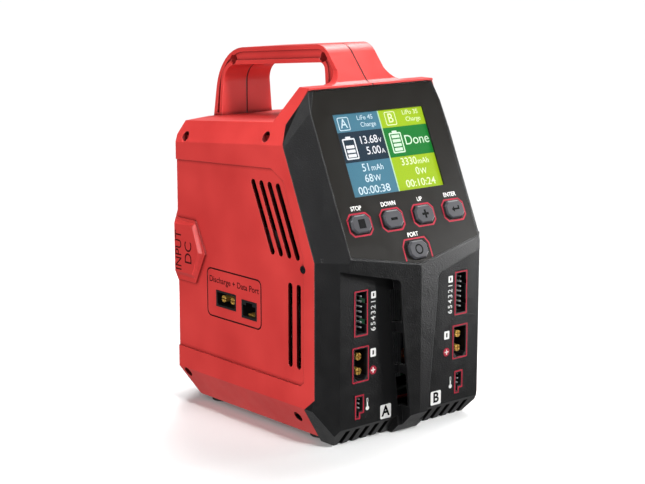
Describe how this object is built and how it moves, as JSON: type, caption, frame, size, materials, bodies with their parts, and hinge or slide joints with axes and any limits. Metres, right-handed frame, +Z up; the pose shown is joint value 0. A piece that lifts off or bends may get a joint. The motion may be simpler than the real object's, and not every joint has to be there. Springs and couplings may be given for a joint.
{
  "type": "balance battery charger",
  "caption": "Upright two-channel charger: red clamshell with a carrying handle, leaning black front with screen and push keys, plug banks below, fans at the back.",
  "frame": {"origin": "centre of the outline at the underside of the feet", "axes": "+Z up, -Y out of the front with the screen, +X to the right of someone facing the front"},
  "size_m": [0.1108, 0.1404, 0.1854],
  "materials": {
    "red_shell": "satin moulded red plastic with a fine grain",
    "black_front": "matt moulded black plastic with a fine grain",
    "panel_sheet": "matt dark printed sheet",
    "window_glass": "clear flat window",
    "lcd_face": "lit colour display",
    "frame_plastic": "matt moulded frame",
    "key_plastic": "satin grey key caps",
    "circuit_board": "green solder mask",
    "component_black": "moulded epoxy",
    "socket_plastic": "black moulded nylon",
    "gold_contact": "gold-plated contacts",
    "sink_aluminium": "extruded aluminium",
    "coil_copper": "enamelled copper winding",
    "can_sleeve": "sleeved cans",
    "panel_steel": "black powder-coated steel",
    "fan_plastic": "black moulded fan plastic",
    "screw_steel": "blackened steel screws",
    "foot_rubber": "soft black rubber",
    "ribbon_grey": "grey ribbon cable",
    "lead_rubber": "silicone insulated lead"
  },
  "bodies": {
    "charger": {"back_left_foot": "foot_rubber", "back_panel": "panel_steel", "back_panel_screws": "screw_steel", "back_right_foot": "foot_rubber", "balance_pins_a": "gold_contact", "balance_pins_b": "gold_contact", "balance_socket_a": "socket_plastic", "balance_socket_b": "socket_plastic", "bezel_screws": "screw_steel", "buzzer": "component_black", "capacitors": "can_sleeve", "control_board": "circuit_board", "data_jack": "socket_plastic", "data_jack_contacts": "gold_contact", "discharge_contacts": "gold_contact", "discharge_socket": "socket_plastic", "display_glass": "window_glass", "fan_screws": "screw_steel", "front_bezel": "black_front", "front_left_foot": "foot_rubber", "front_right_foot": "foot_rubber", "heat_sink_a": "sink_aluminium", "heat_sink_b": "sink_aluminium", "inductors": "coil_copper", "inlet_contacts": "gold_contact", "inlet_socket": "socket_plastic", "input_leads": "lead_rubber", "key_switches": "component_black", "lcd_frame": "frame_plastic", "lcd_module": "lcd_face", "left_shell": "red_shell", "lower_fan_frame": "fan_plastic", "main_board": "circuit_board", "main_board_screws": "screw_steel", "output_contacts_a": "gold_contact", "output_contacts_b": "gold_contact", "output_socket_a": "socket_plastic", "output_socket_b": "socket_plastic", "port_board_a": "circuit_board", "port_board_b": "circuit_board", "port_board_screws": "screw_steel", "ribbon_cable": "ribbon_grey", "right_shell": "red_shell", "screen_panel": "panel_sheet", "shell_screws": "screw_steel", "side_board": "circuit_board", "temperature_pins_a": "gold_contact", "temperature_pins_b": "gold_contact", "temperature_socket_a": "socket_plastic", "temperature_socket_b": "socket_plastic", "transistors_a": "component_black", "transistors_b": "component_black", "upper_fan_frame": "fan_plastic"},
    "stop_key": {"stop_key": "key_plastic"},
    "down_key": {"down_key": "key_plastic"},
    "up_key": {"up_key": "key_plastic"},
    "enter_key": {"enter_key": "key_plastic"},
    "port_key": {"port_key": "key_plastic"},
    "lower_fan_rotor": {"lower_fan_rotor": "fan_plastic"},
    "upper_fan_rotor": {"upper_fan_rotor": "fan_plastic"}
  },
  "joints": [
    {"name": "stop_key_press", "type": "slide", "parent": "charger", "child": "stop_key", "axis": [0, 0.9164, -0.4003], "range_m": [0, 0.0008], "stiffness_N_per_m": 1500, "springref_m": -0.0002},
    {"name": "down_key_press", "type": "slide", "parent": "charger", "child": "down_key", "axis": [0, 0.9164, -0.4003], "range_m": [0, 0.0008], "stiffness_N_per_m": 1500, "springref_m": -0.0002},
    {"name": "up_key_press", "type": "slide", "parent": "charger", "child": "up_key", "axis": [0, 0.9164, -0.4003], "range_m": [0, 0.0008], "stiffness_N_per_m": 1500, "springref_m": -0.0002},
    {"name": "enter_key_press", "type": "slide", "parent": "charger", "child": "enter_key", "axis": [0, 0.9164, -0.4003], "range_m": [0, 0.0008], "stiffness_N_per_m": 1500, "springref_m": -0.0002},
    {"name": "port_key_press", "type": "slide", "parent": "charger", "child": "port_key", "axis": [0, 0.9164, -0.4003], "range_m": [0, 0.0008], "stiffness_N_per_m": 1500, "springref_m": -0.0002},
    {"name": "lower_fan_spin", "type": "hinge", "parent": "charger", "child": "lower_fan_rotor", "pos_m": [0, 0.0604, 0.0657], "axis": [0, 1, 0], "continuous": true},
    {"name": "upper_fan_spin", "type": "hinge", "parent": "charger", "child": "upper_fan_rotor", "pos_m": [0, 0.0604, 0.1077], "axis": [0, 1, 0], "continuous": true}
  ]
}
